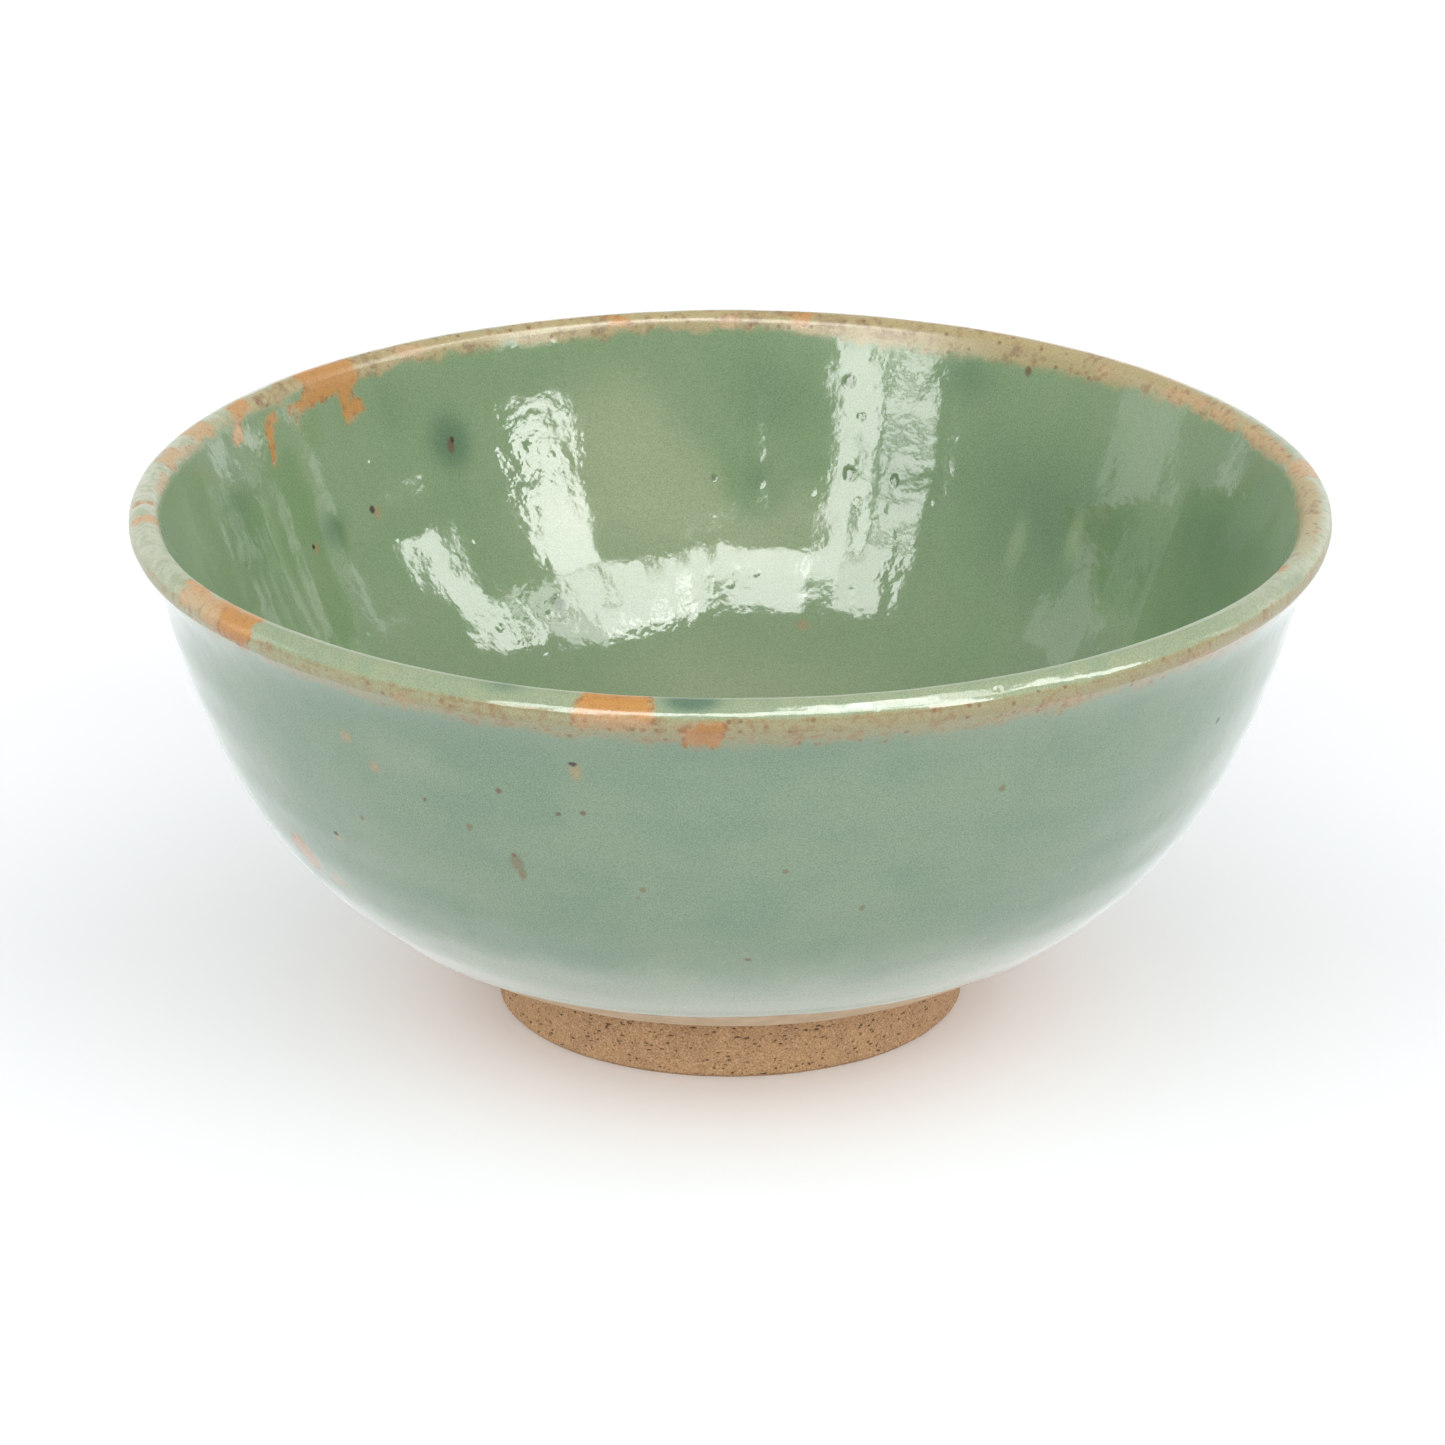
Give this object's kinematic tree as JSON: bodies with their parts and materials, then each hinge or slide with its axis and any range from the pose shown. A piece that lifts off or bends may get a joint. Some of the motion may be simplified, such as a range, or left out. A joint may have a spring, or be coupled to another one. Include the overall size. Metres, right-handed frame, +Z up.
{
  "type": "matcha bowl",
  "caption": "Wide, shallow glazed stoneware tea bowl with a slightly flared lip, bare skirt and unglazed foot ring.",
  "frame": {"origin": "centre of the foot ring, on the plane that it stands on", "axes": "+Z up along the bowl's axis of revolution; +X and +Y are any two level directions"},
  "size_m": [0.14, 0.14, 0.0625],
  "materials": {
    "clay": "bare fired stoneware, hidden under its coats except inside the foot ring",
    "foot_clay": "matt, gritty, tan-brown stoneware with dark pocks",
    "slip": "matt, pale, smooth slip",
    "celadon_glaze": "glossy pale blue-green glaze with iron specks",
    "sage_glaze": "glossy mottled sage-green glaze with iron specks",
    "lip_glaze": "glossy glaze worn thin to tan and orange over the lip"
  },
  "bodies": {
    "root": {"clay_body": "clay", "foot_ring": "foot_clay", "slip_band": "slip", "outer_glaze": "celadon_glaze", "inner_glaze": "sage_glaze", "lip_glaze": "lip_glaze"}
  },
  "joints": []
}
